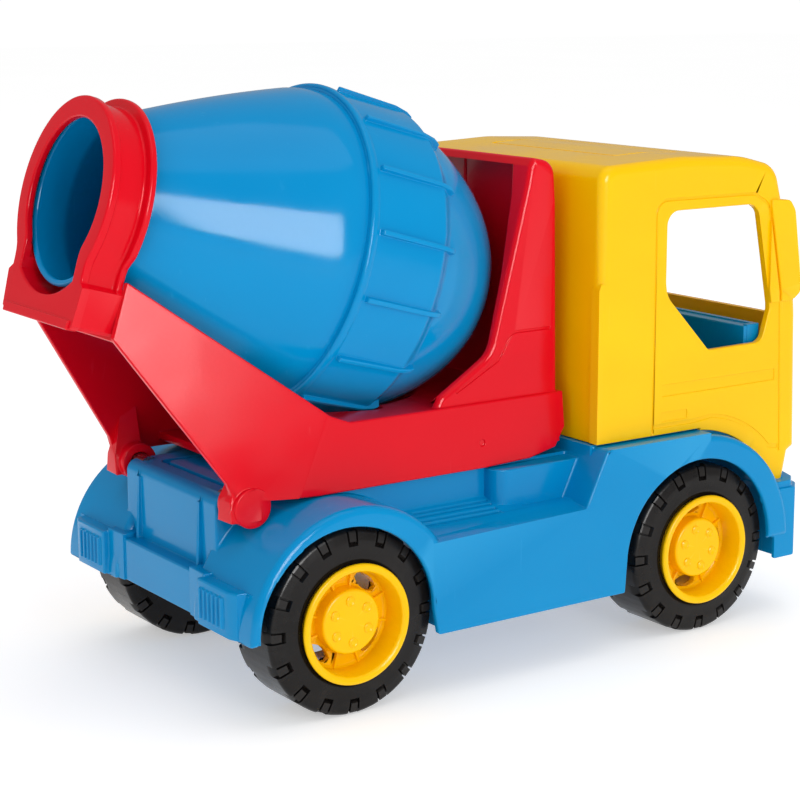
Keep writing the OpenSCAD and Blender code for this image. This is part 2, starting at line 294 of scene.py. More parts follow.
def common(base, *tools):
    return boolean(base, tools, "INTERSECT")


def even_out(bm):
    """Splits flat areas into well-shaped triangles, so that their edges bevel cleanly."""
    bmesh.ops.remove_doubles(bm, verts=bm.verts, dist=0.005)
    bmesh.ops.dissolve_degenerate(bm, edges=bm.edges, dist=0.01)
    bmesh.ops.triangulate(bm, faces=bm.faces)
    flat = [e for e in bm.edges if e.is_manifold and e.calc_face_angle(0) < math.radians(0.6)]
    bmesh.ops.beautify_fill(bm, faces=bm.faces, edges=flat, method="ANGLE")


def room_beside(edge):
    """Length of the shortest edge that leaves either end of this one sideways."""
    along = (edge.verts[1].co - edge.verts[0].co).normalized()
    room = 100.0
    for vert in edge.verts:
        for other in vert.link_edges:
            if other is edge:
                continue
            way = other.other_vert(vert).co - vert.co
            if abs(way.normalized().dot(along)) < 0.9:
                room = min(room, way.length)
    return room


def torn_places(mesh, skin, width):
    """Where a rounded mesh folds over itself or strays from the sharp one it came from."""
    bm = bmesh.new()
    bm.from_mesh(mesh)
    places = [v.co.copy() for v in bm.verts if skin.find_nearest(v.co)[3] > 0.5 * width]
    for face in bm.faces:
        if len(face.verts) == 3:
            continue
        points = [v.co for v in face.verts]
        triangles = tessellate_polygon([points])
        filled = sum(area_tri(points[a], points[b], points[c]) for a, b, c in triangles)
        if abs(filled - face.calc_area()) > max(0.02 * filled, 0.03):
            places.append(face.calc_center_median())
    bm.free()
    return places


def soften(obj, width=0.6, angle=32, segments=3):
    """Rounds every edge sharper than angle, as a mould does.

    An edge with little room gets a smaller round, and one whose round would tear stays sharp.
    """
    bm = bmesh.new()
    bm.from_mesh(obj.data)
    even_out(bm)
    skin = BVHTree.FromBMesh(bm)
    weight = bm.edges.layers.float.new("bevel_weight_edge")
    sharp = [e for e in bm.edges if e.is_manifold and e.calc_face_angle(0) > math.radians(angle)]
    for edge in sharp:
        edge[weight] = min(1.0, 0.42 * room_beside(edge) / width)
    for attempt in range(4):
        bm.to_mesh(obj.data)
        step = obj.modifiers.new("round", "BEVEL")
        step.width = width
        step.segments = segments
        step.limit_method = "WEIGHT"
        step.use_clamp_overlap = False
        bake(obj)
        torn = torn_places(obj.data, skin, width)
        if not torn:
            break
        for place in torn:
            for edge in sharp:
                part = intersect_point_line(place, edge.verts[0].co, edge.verts[1].co)[1]
                near = edge.verts[0].co.lerp(edge.verts[1].co, min(max(part, 0), 1))
                if (near - place).length < 2 * width:
                    edge[weight] *= 0.5 if attempt < 2 else 0
    bm.free()
    return obj


def finish_piece(obj, name, body, material, nodes=(), crease=50):
    """Shades the piece, moves it into the frame and hands it to its body."""
    obj.name = name
    obj.data.name = name
    obj.data.polygons.foreach_set("use_smooth", [True] * len(obj.data.polygons))
    obj.data.set_sharp_from_angle(angle=math.radians(crease))
    step = obj.modifiers.new("shade", "WEIGHTED_NORMAL")
    step.keep_sharp = True
    bake(obj)
    obj.data.transform(TO_FRAME)
    obj.data.materials.clear()
    obj.data.materials.append(material)
    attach(obj, body)
    if nodes:
        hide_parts(*nodes)
    return obj


# -------------------- materials

def srgb(r, g, b):
    """Linear colour from 0-255 screen values."""
    def channel(v):
        v /= 255
        return v / 12.92 if v <= 0.04045 else ((v + 0.055) / 1.055) ** 2.4
    return (channel(r), channel(g), channel(b), 1)


class Nodes:
    """Short calls for building a material's node tree."""

    def __init__(self, name):
        self.material = bpy.data.materials.new(name)
        self.material.use_nodes = True
        self.tree = self.material.node_tree
        self.shader = self.tree.nodes["Principled BSDF"]
        self.place = self.add("ShaderNodeTexCoord").outputs["Object"]

    def add(self, kind, **settings):
        node = self.tree.nodes.new(kind)
        for key, value in settings.items():
            setattr(node, key, value)
        return node

    def link(self, out, into):
        self.tree.links.new(out, into)

    def stretched(self, scale):
        node = self.add("ShaderNodeMapping")
        node.inputs["Scale"].default_value = scale
        self.link(self.place, node.inputs["Vector"])
        return node.outputs["Vector"]

    def noise(self, scale, detail=3, where=None):
        node = self.add("ShaderNodeTexNoise")
        node.inputs["Scale"].default_value = scale
        node.inputs["Detail"].default_value = detail
        self.link(where or self.place, node.inputs["Vector"])
        return node.outputs["Fac"]

    def spread(self, value, low, high, from_low=0.3, from_high=0.7):
        """Maps value from one range onto another."""
        node = self.add("ShaderNodeMapRange")
        self.link(value, node.inputs["Value"])
        limits = {"From Min": from_low, "From Max": from_high, "To Min": low, "To Max": high}
        for key, number in limits.items():
            node.inputs[key].default_value = number
        return node.outputs["Result"]

    def mix(self, factor, a, b):
        """Colour a where factor is 0, and b where it is 1."""
        node = self.add("ShaderNodeMix", data_type="RGBA")
        self.link(factor, node.inputs[0])
        for socket, value in ((node.inputs[6], a), (node.inputs[7], b)):
            if isinstance(value, tuple):
                socket.default_value = value
            else:
                self.link(value, socket)
        return node.outputs[2]

    def bump(self, height, strength, distance, normal=None):
        node = self.add("ShaderNodeBump")
        node.inputs["Strength"].default_value = strength
        node.inputs["Distance"].default_value = distance
        self.link(height, node.inputs["Height"])
        if normal:
            self.link(normal, node.inputs["Normal"])
        return node.outputs["Normal"]

    def scratches(self, scale, direction, coverage):
        """Thin lines along one direction, 0 to 1."""
        lines = self.noise(scale, 2, self.stretched(direction))
        thin = self.spread(lines, 0, 1, 0.5 + coverage, 0.5 + coverage + 0.02)
        patches = self.spread(self.noise(55, 2), 0, 1, 0.48, 0.62)
        both = self.add("ShaderNodeMath", operation="MULTIPLY")
        self.link(thin, both.inputs[0])
        self.link(patches, both.inputs[1])
        return both.outputs[0]

    def edges(self, low, high):
        """How far a place sticks out, as along a worn edge."""
        return self.spread(self.add("ShaderNodeNewGeometry").outputs["Pointiness"], 0, 1, low, high)

    def set(self, **inputs):
        for name, value in inputs.items():
            socket = self.shader.inputs[name.replace("_", " ")]
            if isinstance(value, (int, float, tuple)):
                socket.default_value = value
            else:
                self.link(value, socket)


def moulded_plastic(name, colour, dark, light, gloss=0.15):
    """Glossy coloured plastic: soft flow marks, fine skin, faint scuffs and rubbed edges."""
    n = Nodes(name)
    flow = n.spread(n.noise(14, 2, n.stretched((1, 1, 2.2))), 0, 1)
    body = n.mix(flow, dark, colour)
    rubbed = n.spread(n.edges(0.53, 0.62), 0, 0.3, 0, 1)
    body = n.mix(rubbed, body, light)
    scuffs = n.scratches(420, (1, 1, 0.06), 0.19)
    body = n.mix(n.spread(scuffs, 0, 0.12, 0, 1), body, light)
    roughness = n.spread(n.noise(38, 4), gloss - 0.04, gloss + 0.07)
    skin = n.bump(n.noise(900, 2), 0.05, 0.0003)
    waves = n.bump(n.noise(45, 1), 0.06, 0.002, skin)
    n.set(Base_Color=body, Roughness=roughness, Normal=n.bump(scuffs, 0.08, 0.0002, waves),
          Specular_IOR_Level=0.18)
    return n.material


def tyre_rubber(name):
    """Black moulded tyre plastic, a little dusty in the tread."""
    n = Nodes(name)
    base = n.mix(n.spread(n.noise(30, 4), 0, 1), srgb(16, 14, 13), srgb(25, 22, 21))
    dust = n.spread(n.noise(160, 5), 0, 0.15, 0.55, 0.75)
    base = n.mix(dust, base, srgb(62, 58, 54))
    base = n.mix(n.spread(n.edges(0.52, 0.6), 0, 0.4, 0, 1), base, srgb(58, 55, 53))
    skin = n.bump(n.noise(1100, 3), 0.12, 0.0003)
    n.set(Base_Color=base, Roughness=n.spread(n.noise(60, 3), 0.22, 0.36), Normal=skin,
          Specular_IOR_Level=0.22)
    return n.material


def bright_steel(name):
    """Turned steel: fine rings, small pits."""
    n = Nodes(name)
    base = n.mix(n.spread(n.noise(200, 4), 0, 1), srgb(150, 150, 153), srgb(190, 190, 192))
    rings = n.noise(1500, 2, n.stretched((1, 0.02, 1)))
    n.set(Base_Color=base, Metallic=1.0, Roughness=n.spread(rings, 0.2, 0.4),
          Normal=n.bump(rings, 0.2, 0.0001))
    return n.material


BLUE = moulded_plastic("blue_plastic", srgb(0, 142, 202), srgb(0, 136, 196), srgb(70, 180, 232))
DRUM_BLUE = moulded_plastic("drum_plastic", srgb(0, 144, 205), srgb(0, 137, 198), srgb(70, 180, 232),
                            0.12)
RED = moulded_plastic("red_plastic", srgb(228, 6, 30), srgb(221, 4, 27), srgb(240, 70, 76))
YELLOW = moulded_plastic("yellow_plastic", srgb(255, 201, 0), srgb(252, 194, 0), srgb(255, 218, 70), 0.2)
RUBBER = tyre_rubber("tyre_rubber")
STEEL = bright_steel("bright_steel")


# -------------------- wheels

TYRE_R = 29.4
RIM_R = 19.0
RIM_Y = 61.7
SHOULDER_Y = RIM_Y - 2.4
TREAD_W = 23.0
LUG_COUNT = 16
# Each lug stands in a notch: half-widths in degrees, the rest in mm
LUG_TURN = 2.7
NOTCH_TURN = 3.9
NOTCH_DEPTH = 1.1
NOTCH_LENGTH = 7.0
LUG_REACH = (0.7, 4.2)


def wheel_place(x, side):
    """A wheel's own frame: +Z outwards along the axle."""
    return Matrix(((1, 0, 0, x), (0, 0, side, 0), (0, -side, 0, AXLE_Z), (0, 0, 0, 1)))


def tread_depth(turn, reach):
    """How deep a notch with a lug in it is, turn degrees from its middle and reach mm along it."""
    if abs(turn) > NOTCH_TURN or not 0 <= reach <= NOTCH_LENGTH:
        return 0.0
    on_lug = abs(turn) < LUG_TURN and LUG_REACH[0] < reach < LUG_REACH[1]
    return 0.0 if on_lug else NOTCH_DEPTH


def tyre_profile():
    """Half of the tyre's section, as (radius, distance from its middle plane)."""
    half = TREAD_W / 2
    edge = half - 0.6
    bead = [(RIM_R - 1.6, half - 3.2), (RIM_R - 0.6, half - 0.4)]
    bead += arc(RIM_R + 1.4, half - 1.3, 1.6, 140, 78, 4)
    side = [(22.6, half + 0.02), (24.1, half - 0.02), (24.9, half - 0.08)]
    wall = [(25.6, half - 0.16), (25.7, half - 0.18), (26.6, half - 0.34), (27.4, half - 0.54)]
    shoulder = arc(TYRE_R - 1.8, edge - 1.8, 1.8, 78, 0, 8)
    return bead + side + wall + shoulder


def tyre(name, x, side, body, node):
    """A turned section with two rows of notches pressed into it, half a step apart."""
    place = wheel_place(x, side) @ Matrix.Translation((0, 0, SHOULDER_Y - TREAD_W / 2))
    outer = tyre_profile()
    tread = [(TYRE_R, outer[-1][1] * (1 - 2 * k / 10)) for k in range(1, 10)]
    section = outer + tread + [(r, -y) for r, y in reversed(outer)]
    notch_start_r = 24.8
    first = next(i for i, (r, y) in enumerate(section) if r > notch_start_r)
    last = len(section) - 1 - first
    # distance of each point along the section, and the way that a notch sinks there
    travel = [0.0]
    for a, b in zip(section, section[1:]):
        travel.append(travel[-1] + math.dist(a, b))
    sink = []
    for i in range(len(section)):
        a, b = section[max(i - 1, 0)], section[min(i + 1, len(section) - 1)]
        way = Vector((b[0] - a[0], b[1] - a[1])).normalized()
        sink.append(Vector((way.y, -way.x)))
    period = 360 / LUG_COUNT
    # steep walls at the sides of each lug and of each notch, and one more ring between notches
    walls = [turn + step for turn in (LUG_TURN, NOTCH_TURN) for step in (-0.15, 0.1)]
    marks = walls + [-wall for wall in walls] + [period / 4]
    turns = sorted(k * period / 2 + mark for k in range(2 * LUG_COUNT) for mark in marks)
    verts = []
    for turn in turns:
        for i, (r, y) in enumerate(section):
            if travel[i] < travel[-1] / 2:
                away = (turn + period / 2) % period - period / 2
                depth = tread_depth(away, travel[i] - travel[first])
            else:
                away = turn % period - period / 2
                depth = tread_depth(away, travel[last] - travel[i])
            r, y = Vector((r, y)) + sink[i] * depth
            a = math.radians(turn)
            verts.append(place @ Vector((r * math.cos(a), r * math.sin(a), y)))
    obj = mesh_object(verts, ring_faces(len(turns), len(section)))
    return finish_piece(obj, name, body, RUBBER, (node,), 40)


def turned(points, angle):
    """Points in a plane, turned round its origin."""
    c, s = math.cos(angle), math.sin(angle)
    return [(u * c - v * s, u * s + v * c) for u, v in points]


def rim_slot(place, angle, dish):
    """Cutter for a lens-shaped slot through the dish."""
    middle_r, lens_r, offset, half = 13.05, 7.5, 5.4, 44
    lens = arc(middle_r - offset, 0, lens_r, -half, half, 10)[1:-1]
    lens += arc(middle_r + offset, 0, lens_r, 180 - half, 180 + half, 10)[1:-1]
    plan = turned(lens, angle)
    return stack([[place @ Vector((u, v, y)) for u, v in plan] for y in (dish - 4, dish + 2.2)])


def rim_rib(place, angle, dish):
    """A low thin rib from the hub out to the dish's wall."""
    inner, outer, half = 9.6, 16.4, 0.35
    plan = turned([(inner, half), (outer, half), (outer, -half), (inner, -half)], angle)
    tops = [dish + height for height in (1.5, 0.9, 0.9, 1.5)]
    low = [place @ Vector((u, v, dish - 1)) for u, v in plan]
    high = [place @ Vector((u, v, top)) for (u, v), top in zip(plan, tops)]
    return stack([low, high])


def rim(name, x, side, phase, body, node):
    """A dished rim with a hub, four slots with a low rib at each end, and six bumps."""
    place = wheel_place(x, side) @ Matrix.Rotation(math.radians(phase), 4, "Z")
    lip = RIM_Y
    dish = RIM_Y - 9.5
    inner_end = RIM_Y - 24.4
    hub_r = 10.3
    hub_top = RIM_Y - 3.8
    boss_r = 4.8
    barrel = RIM_R - 2
    wall = 2.0
    web = 2.4
    profile = ([(0, inner_end), (boss_r, inner_end), (boss_r, dish - web), (barrel - wall, dish - web),
                (barrel - wall, inner_end), (barrel, inner_end), (barrel, lip - 2.2)]
               + arc(RIM_R - 0.9, lip - 0.9, 0.9, -20, 110, 7)
               + [(RIM_R - 2.1, lip - 0.25), (RIM_R - 2.7, lip - 1.0), (RIM_R - 3.1, dish + 0.8),
                  (RIM_R - 3.9, dish), (hub_r + 0.7, dish), (hub_r, dish + 0.8)]
               + arc(hub_r - 1.0, hub_top - 1.0, 1.0, 0, 90, 5)
               + [(7.5, hub_top - 0.05), (0, hub_top + 0.1)])
    obj = spin(profile, place, 144, closed=False)
    slots, ribs = [], []
    for k in range(4):
        middle = math.pi / 2 * k + math.pi / 4
        slots.append(rim_slot(place, middle, dish))
        ribs += [rim_rib(place, middle + edge * 0.50, dish) for edge in (-1, 1)]
    bump = [(0, -1), (1.55, -1), (1.5, 0.25), (1.15, 0.5), (0.8, 0.3), (0, 0.25)]
    bump = [(r, hub_top + rise) for r, rise in bump]
    bumps = []
    for k in range(6):
        spot = turned([(6.6, 0)], math.pi / 3 * k + math.pi / 6)[0]
        bumps.append(spin(bump, place @ Matrix.Translation((*spot, 0)), 24, closed=False))
    cut(obj, *slots)
    soften(obj, 0.25, 40, 2)
    weld(obj, *ribs, *bumps)
    return finish_piece(obj, name, body, YELLOW, (node,))


for end, x, phase in (("rear", 0, 4), ("front", WHEELBASE, -48)):
    for side_name, side in (("left", 1), ("right", -1)):
        wheels = end + "_wheels"
        tyre(f"tyre.{end}.{side_name}", x, side, wheels, f"tyre_{end}_{side_name}")
        rim(f"rim.{end}.{side_name}", x, side, phase, wheels, f"rim_{end}_{side_name}")


# -------------------- drum

DRUM_R = 52.2
SEAM = 9.3
BAND_END = 40.0
DRUM_END = 80.0
MOUTH = -62.5
NECK_END = -52.5
NECK_R = 27.35
DRUM_RIBS = 16
PIVOT_HOLE_R = 3.75


def cone_radius(s):
    """Outside of the drum's rear half, slightly bulged."""
    t = (s - NECK_END) / (SEAM - NECK_END)
    bulge = 4.6 * t * (1 - t)
    drop_at_seam = 1.4 * (max(0, t - 0.86) / 0.14) ** 2
    return 27.5 + 24.7 * t + bulge - drop_at_seam


def drum_rear():
    """The cone, its neck and the rolled lip of its mouth, hollow inside."""
    stations = [NECK_END + (SEAM - 0.6 - NECK_END) * i / 26 for i in range(27)]
    outside = [(cone_radius(s), s) for s in stations]
    inside = [(r - 2.0, s) for r, s in reversed(outside)]
    mouth = ([(NECK_R - 2.2, MOUTH + 1.0)] + arc(NECK_R - 1.1, MOUTH + 1.1, 1.1, 180, 270, 4)
             + arc(NECK_R - 1.0, MOUTH + 1.0, 1.0, 290, 360, 4) + [(NECK_R, -53.5)])
    obj = spin(mouth + outside + [(51.0, SEAM + 2.5), (49.0, SEAM + 2.5)] + inside, DRUM, 160)
    return finish_piece(obj, "drum.rear_half", "drum", DRUM_BLUE, ("drum_rear_shell",))


def dome_radius(s, inwards=0.0):
    """The drum's round front end, part of an ellipse, moved inwards by a wall."""
    middle, half_height, half_length = 10.8, 54.57, 76.6
    return (half_height - inwards) * math.sqrt(1 - ((s - middle) / (half_length - inwards)) ** 2)


def drum_front():
    """The ribbed band and the dome, with a hole for the pivot pin."""
    band_r = DRUM_R + 0.5
    inner_r = DRUM_R - 2.2
    wall = 2.4
    outside = ([(51.2, SEAM + 0.2)] + arc(DRUM_R + 0.1, SEAM + 1.1, 0.9, 230, 360, 6)
               + [(DRUM_R + 1.0, SEAM + 2.2), (DRUM_R + 0.6, SEAM + 2.9), (band_r, SEAM + 3.3),
                  (band_r, BAND_END - 2.6), (band_r - 0.15, BAND_END - 2.0), (51.7, BAND_END - 0.7)]
               + [(dome_radius(s), s) for s in (DRUM_END - 39 * (1 - k / 30) for k in range(31))])
    inside = ([(PIVOT_HOLE_R, DRUM_END), (PIVOT_HOLE_R, DRUM_END - wall)]
              + [(dome_radius(s, wall), s) for s in (DRUM_END - wall - 38 * k / 14 for k in range(15))]
              + [(inner_r, BAND_END - 3), (inner_r, SEAM + 0.4)])
    obj = spin(outside + inside, DRUM, 160)
    ribs = []
    side = [(DRUM_R - 1.2, SEAM + 3.6), (band_r + 1.7, SEAM + 4.2), (band_r + 1.2, BAND_END - 4),
            (band_r + 0.3, BAND_END + 0.6), (band_r - 0.8, BAND_END + 2.8), (DRUM_R - 3.4, BAND_END + 3.0)]
    for k in range(DRUM_RIBS):
        turn = DRUM @ Matrix.Rotation(2 * math.pi * (k + 0.5) / DRUM_RIBS, 4, "Z")
        ribs.append(stack([[turn @ Vector((r, w, s)) for r, s in side] for w in (-0.8, 0.8)]))
    weld(obj, *ribs)
    soften(obj, 0.35, 40, 3)
    return finish_piece(obj, "drum.front_half", "drum", DRUM_BLUE, ("drum_front_shell",))


drum_rear()
drum_front()


# -------------------- collar

COLLAR_BACK = -66.0
COLLAR_FRONT = -52.5
COLLAR_LOW = -38.0
HOLE_R = 23.6


def collar_outline(r, post, shoulder, foot, steps=40):
    """Outside of the collar: a circle that runs down into two posts and a block, as (up, across)."""
    side = arc(0, 0, r, 0, math.degrees(math.acos(-14 / r)), steps)
    side += [(-17.5, post + 0.75), (-19.5, post + 0.2), (-21.5, post), (-24.2, post)]
    side += [(-25.6, shoulder), (COLLAR_LOW + 1.0, foot), (COLLAR_LOW, foot - 1.0)]
    return side + [(u, -y) for u, y in reversed(side[1:])]


def throat_outline(r_hole, r_lobe, half, steps=30):
    """The collar's opening: a round hole that runs down into a narrower lobe."""
    side = arc(0, 0, r_hole, 0, math.degrees(math.acos(-11.5 / r_hole)), steps)
    side += [(-14.0, half + 0.75), (-16.5, half + 0.1), (-18.5, half)]
    low = math.degrees(math.asin(half / r_lobe))
    side += arc(0, 0, r_lobe, 180 - low, 180, 8)
    return side + [(u, -y) for u, y in reversed(side[1:-1])]


def drum_collar():
    """Two flanges with a band between them, on a block that is screwed to the frame."""
    back = along_drum(collar_outline(30.2, 24.0, 26.0, 24.6), COLLAR_BACK, COLLAR_BACK + 2.6)
    band = along_drum(collar_outline(28.9, 23.0, 25.3, 23.9), COLLAR_BACK + 2.0, COLLAR_FRONT - 1.6)
    front = along_drum(collar_outline(32.0, 24.8, 25.9, 24.4), COLLAR_FRONT - 2.2, COLLAR_FRONT)
    obj = weld(back, band, front)
    # the block under the posts is as wide as the flanges
    lower = balanced([(-25.4, 25.95), (COLLAR_LOW + 1.0, 24.55), (COLLAR_LOW, 23.6)])
    weld(obj, along_drum(lower, COLLAR_BACK + 0.6, COLLAR_FRONT - 0.1))
    # raised strip along the lower edge of the rear plate
    strip = balanced([(COLLAR_LOW + 2.4, 22.6), (COLLAR_LOW - 0.5, 22.4)])
    weld(obj, along_drum(strip, COLLAR_BACK - 0.7, COLLAR_BACK + 3))
    # the neck turns in a bore that ends at the rear flange
    bore_r, bore_start, bore_end = NECK_R + 0.45, COLLAR_BACK + 2.4, COLLAR_FRONT + 4
    bore = [(0, bore_start), (bore_r, bore_start), (bore_r, bore_end), (0, bore_end)]
    cut(obj, along_drum(throat_outline(HOLE_R, 30.3, 18.3), COLLAR_BACK - 5, COLLAR_FRONT - 1.9),
        spin(bore, DRUM, 96, closed=False))
    soften(obj, 0.7, 32, 3)
    return finish_piece(obj, "collar", "mixer_body", RED, ("drum_collar",))


drum_collar()


# -------------------- mixer frame

FRAME_HALF = 44.0
RAIL_Z = 88.0
FRAME_LOW = 69.0
WALL = 2.1
BULKHEAD_Z = 165.5
# How much the side walls widen per mm downwards, and narrow per mm backwards behind their crease
FRONT_FLARE = 0.065
REAR_FLARE = 0.146
REAR_TAPER = 0.188
TAPER_X = -1


def front_wall_y(z):
    """Outside of a side wall ahead of its crease."""
    return FRAME_HALF + FRONT_FLARE * (RAIL_Z - z)


def rear_wall_y(x, z):
    """Outside of a side wall behind the crease, where it closes in towards the collar."""
    return FRAME_HALF + REAR_TAPER * (x - TAPER_X) + REAR_FLARE * (RAIL_Z - z)


def wall_tent(inwards, low=40, high=190):
    """Everything inside the planes of both side walls, moved in by a distance."""
    rings = []
    front_end, rear_end = 120, -90
    for z in (low, high):
        crease = TAPER_X - (REAR_FLARE - FRONT_FLARE) * (RAIL_Z - z) / REAR_TAPER
        side = [(front_end, front_wall_y(z) - inwards), (crease, front_wall_y(z) - inwards),
                (rear_end, rear_wall_y(rear_end, z) - inwards * 1.03)]
        rings.append([(x, y, z) for x, y in balanced(side)])
    return stack(rings)


def wall_outline():
    """Side view of a side wall: the sloping arm, the rail and the foot."""
    top = rounded_run([(-56.4, 134.9), (2, 90.8), (9, RAIL_Z), (92.4, RAIL_Z)], 6)
    under = [(92.8, 75.8), (89.0, 69.9), (78, 67.4), (60, 66.7), (-3, 66.7), (-19.3, 67.4)]
    back = [(-30.6, 68.5), (-32.4, 73.5), (-62.2, 118.4)]
    return top + under + back


def rounded_run(path, radius):
    """An open path with its inner corners filleted."""
    corners = [(x, y, 0 if i in (0, len(path) - 1) else radius) for i, (x, y) in enumerate(path)]
    return rounded(corners)


def leg():
    """Foot of the frame: a closed box that widens downwards, and the round knuckle it tips on."""
    front = -22.5
    top_z = 84.0
    top_inner = rear_wall_y(-26, top_z) - 1
    sections = ((HINGE_Z - 4, 33.8, -32.4), (67.6, 34.6, -32.4), (top_z, top_inner, -27.6))
    under_skin = 0.05
    rings = []
    for z, inner, back in sections:
        rings.append([(back, inner, z), (back + 0.4, rear_wall_y(back, z) - under_skin, z),
                      (front, rear_wall_y(front, z) - under_skin, z), (front, inner, z)])
    knuckle_r = 6.2
    outer = rear_wall_y(HINGE_X, HINGE_Z) + 0.15
    knuckle = across(arc(HINGE_X, HINGE_Z, knuckle_r, 0, 345, 46), 31.4, outer)
    return weld(stack(rings), knuckle)


def cheek_outline():
    """Side view of the bulkhead."""
    rear = [(40, RAIL_Z - 3, 0), (44, 91.6, 4), (63.6, 103.6, 9), (78.2, 157.5, 0)]
    top = [(79.3, 162.9, 2.6), (81, BULKHEAD_Z, 1.5), (89.4, 163.8, 7.5)]
    front = [(90.4, 150, 8), (91.3, RAIL_Z + 6, 0), (91.3, RAIL_Z - 3, 0)]
    return rounded(rear + top + front)


def drum_space(grow):
    """Room that the turning drum sweeps."""
    profile = [(0, -62), (NECK_R + 2, -56), (NECK_R + 2 + grow, -51)]
    profile += [(cone_radius(s) + grow, s) for s in (-40, -25, -10, 5)]
    rib_r = DRUM_R + grow + 0.9
    profile += [(rib_r, SEAM), (rib_r, BAND_END), (rib_r - 1.5, BAND_END + 3)]
    profile += [(dome_radius(s) + grow, s) for s in (44, 48, 53, 58, 63, 68, 73, 77, DRUM_END)]
    profile += [(0, DRUM_END + 0.9)]
    return spin(profile, DRUM, 128, closed=False)


def bulkhead():
    """Two cheeks, a curved front wall and a top, in one solid with a recess, and a rib inside."""
    cheek_y = FRAME_HALF - 1.1
    recess_top = 162.9
    recess = balanced([(20, 40.8), (58, 40.8), (70, 39.2), (77, 35.6), (81.8, 30.8), (84.6, 26.0),
                       (86.4, 25.2)])
    cheeks = cut(pillow(cheek_outline(), -cheek_y, cheek_y, 2.0, 5), upright(recess, 70, recess_top))
    rib = block((85.8, 2.2, 96), (88, 3.6, recess_top + 0.1))
    return [cheeks, rib]


def mixer_frame():
    """Side walls with a rail, the bulkhead, two legs, and what holds the drum at both its ends."""
    obj = across(wall_outline(), -60, 60)
    common(obj, wall_tent(0))
    cut(obj, wall_tent(WALL))
    # ledge round the drum, plate underneath, plate at the front
    ledge = block((1, -FRAME_HALF + 1, RAIL_Z - 2.6), (91, FRAME_HALF - 1, RAIL_Z))
    bottom = block((-12, -FRAME_HALF + 0.3, FRAME_LOW + 0.4), (89, FRAME_HALF - 0.3, FRAME_LOW + 3))
    front = block((89.6, -FRAME_HALF + 1, FRAME_LOW + 2), (92.2, FRAME_HALF - 1, RAIL_Z))
    weld(obj, ledge, bottom, front)
    weld(obj, *bulkhead())
    weld(obj, *both_sides(leg()))
    # plate that the collar is screwed to
    plate = balanced([(-39.4, 24.4), (-26.5, 25.2)])
    weld(obj, along_drum(plate, COLLAR_FRONT + 0.5, COLLAR_FRONT + 3.2))
    # boss round the drum's pivot pin
    boss_r, boss_bore_r = 7.6, 3.6
    weld(obj, along_drum(circle(0, 0, boss_r), DRUM_END + 1.4, DRUM_END + 8.5))
    cut(obj, drum_space(1.6), along_drum(circle(0, 0, boss_bore_r), DRUM_END - 4, DRUM_END + 7.8))
    # bores of the hinge
    hinge_bore_r, hinge_bore_end = 3.25, 36.3
    cut(obj, *both_sides(across(circle(HINGE_X, HINGE_Z, hinge_bore_r), 20, hinge_bore_end)))
    cut(obj, *both_sides(cheek_panel()))
    # ejector mark on the rail
    mark_x, mark_z, mark_r, mark_depth = 59, 75, 1.1, 0.6
    cut(obj, *both_sides(across(circle(mark_x, mark_z, mark_r), front_wall_y(mark_z) - mark_depth, 50)))
    soften(obj, 0.55, 32, 3)
    return finish_piece(obj, "mixer_frame", "mixer_body", RED, ("mixer_frame",))


def cheek_panel():
    """Shallow line round the lower panel of a bulkhead cheek."""
    path = rounded_run([(88.0, 109.6), (72, 109.6), (66.8, 101), (50, 92.2)], 4.5)
    return across(ribbon(path, 0.9), FRAME_HALF - 1.55, FRAME_HALF + 2)


mixer_frame()


# -------------------- chassis

HALF_W = 63.0
CORE_HALF = 43.0
BOX_HALF = 29.8
REAR_FACE = -30.8
DECK_Z = 67.5
FRONT_DECK_Z = 71.2
SKIRT_Z = 21.0
FRONT_END = WHEELBASE + 50
# Radius of each wheel's room, and of the fender over it
REAR_WELL_R = 33.0
REAR_FENDER_R = 37.0
FRONT_WELL_R = 35.2
FRONT_FENDER_R = 41.0
FRONT_FENDER_X = 139.2
CHASSIS_WALL = 2.4
# Bores in the cross plates, then the wider ones through every wall, and the tilt pins'
PLATE_BORE_R = 2.1
AXLE_BORE_R = 2.15
TILT_BORE_R = 3.0


def arch_outline(x, r, low, steps=48):
    """Half disc over a wheel with straight sides down to low."""
    return [(x + r, low)] + arc(x, AXLE_Z, r, 0, 180, steps) + [(x - r, low)]


def chassis_body():
    """The rear box, the core, the deck under the cab, and what is joined to their sides and ends."""
    rear_side = rounded([(REAR_FACE, 29.3, 0), (12, 29.3, 0), (12, DECK_Z, 0), (REAR_FACE, DECK_Z, 3.6)])
    rear_box = across(rear_side, -BOX_HALF, BOX_HALF)
    core = block((0, -CORE_HALF, 31), (98, CORE_HALF, DECK_Z - 0.3))
    cab_deck = block((95, -55.5, 31), (182, 55.5, FRONT_DECK_Z))
    obj = weld(rear_box, core, cab_deck)
    weld(obj, *both_sides(*skirt_parts(), *step_parts()))
    weld(obj, *both_sides(rear_fender(), front_fender()))
    weld(obj, *rear_bumper())
    return weld(obj, *front_bumper())


def skirt_parts():
    """Flat lower side, the bevelled edge of the step, and the slope up to the cab."""
    rings = []
    for y, drop in ((CORE_HALF - 4, 0), (54.2, 0), (HALF_W, 1)):
        rear_top, front_top = 53.4 - 2.6 * drop, 53.9 - 0.4 * drop
        rings.append([(27, y, SKIRT_Z), (110, y, SKIRT_Z), (110, y, front_top), (27, y, rear_top)])
    slope = rounded([(86, 50, 0), (88.2, 53.4, 0), (96.6, FRONT_DECK_Z - 0.4, 2.5),
                     (WHEELBASE, FRONT_DECK_Z - 0.4, 0), (WHEELBASE, 45, 0), (110, 40, 0)])
    return [stack(rings), across(slope, CORE_HALF - 4, HALF_W)]


def rear_fender():
    return pillow(arc(0, AXLE_Z - 0.4, REAR_FENDER_R + 0.4, 0, 180, 48), BOX_HALF - 5, HALF_W, 2.6)


